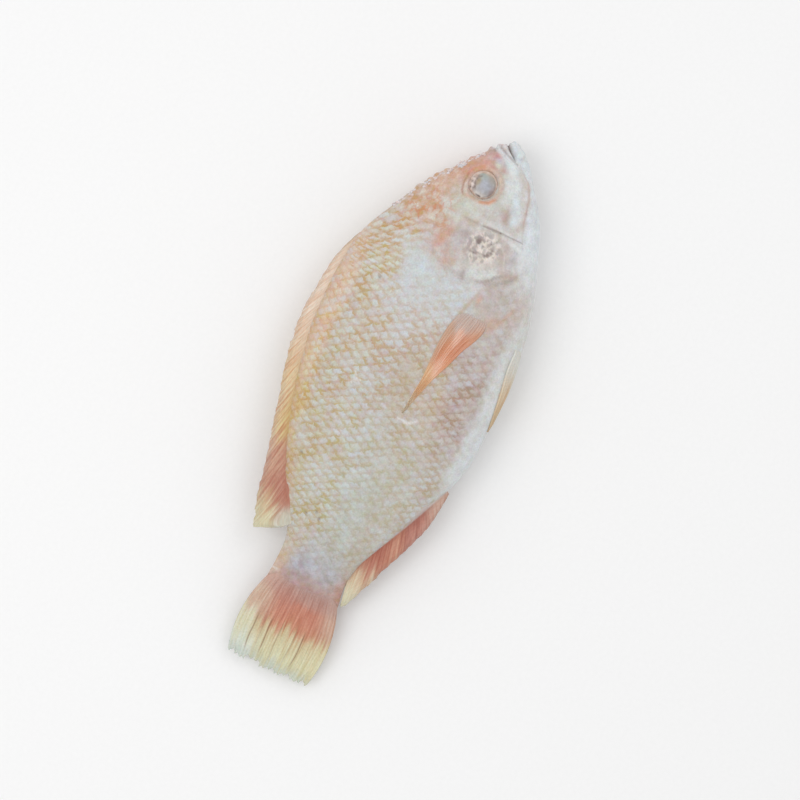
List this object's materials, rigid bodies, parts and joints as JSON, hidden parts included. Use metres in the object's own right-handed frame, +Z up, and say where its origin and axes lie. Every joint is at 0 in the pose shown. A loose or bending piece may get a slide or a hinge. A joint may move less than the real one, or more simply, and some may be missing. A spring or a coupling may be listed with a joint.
{
  "type": "whole tilapia",
  "caption": "Whole frozen red tilapia lying on its left flank, with folded fins along the back and belly and a straight-cut tail fin.",
  "frame": {"origin": "centre of the bottom of the fish's box, on the surface that its left flank lies on", "axes": "+X from the tail to the snout, +Y from the belly to the back, +Z up, out of the right flank"},
  "size_m": [0.2834, 0.1086, 0.0438],
  "materials": {
    "skin": "wet skin and scales under a thin frost",
    "eye": "clouded, glossy",
    "red_fin": "damp membrane over bony rays",
    "orange_fin": "damp membrane over bony rays",
    "pale_fin": "damp membrane over bony rays"
  },
  "bodies": {
    "root": {"body": "skin", "right_eye": "eye", "left_eye": "eye", "dorsal_fin": "red_fin", "anal_fin": "red_fin", "tail_fin": "red_fin", "right_pectoral_fin": "orange_fin", "left_pectoral_fin": "orange_fin", "right_pelvic_fin": "pale_fin", "left_pelvic_fin": "pale_fin"}
  },
  "joints": []
}
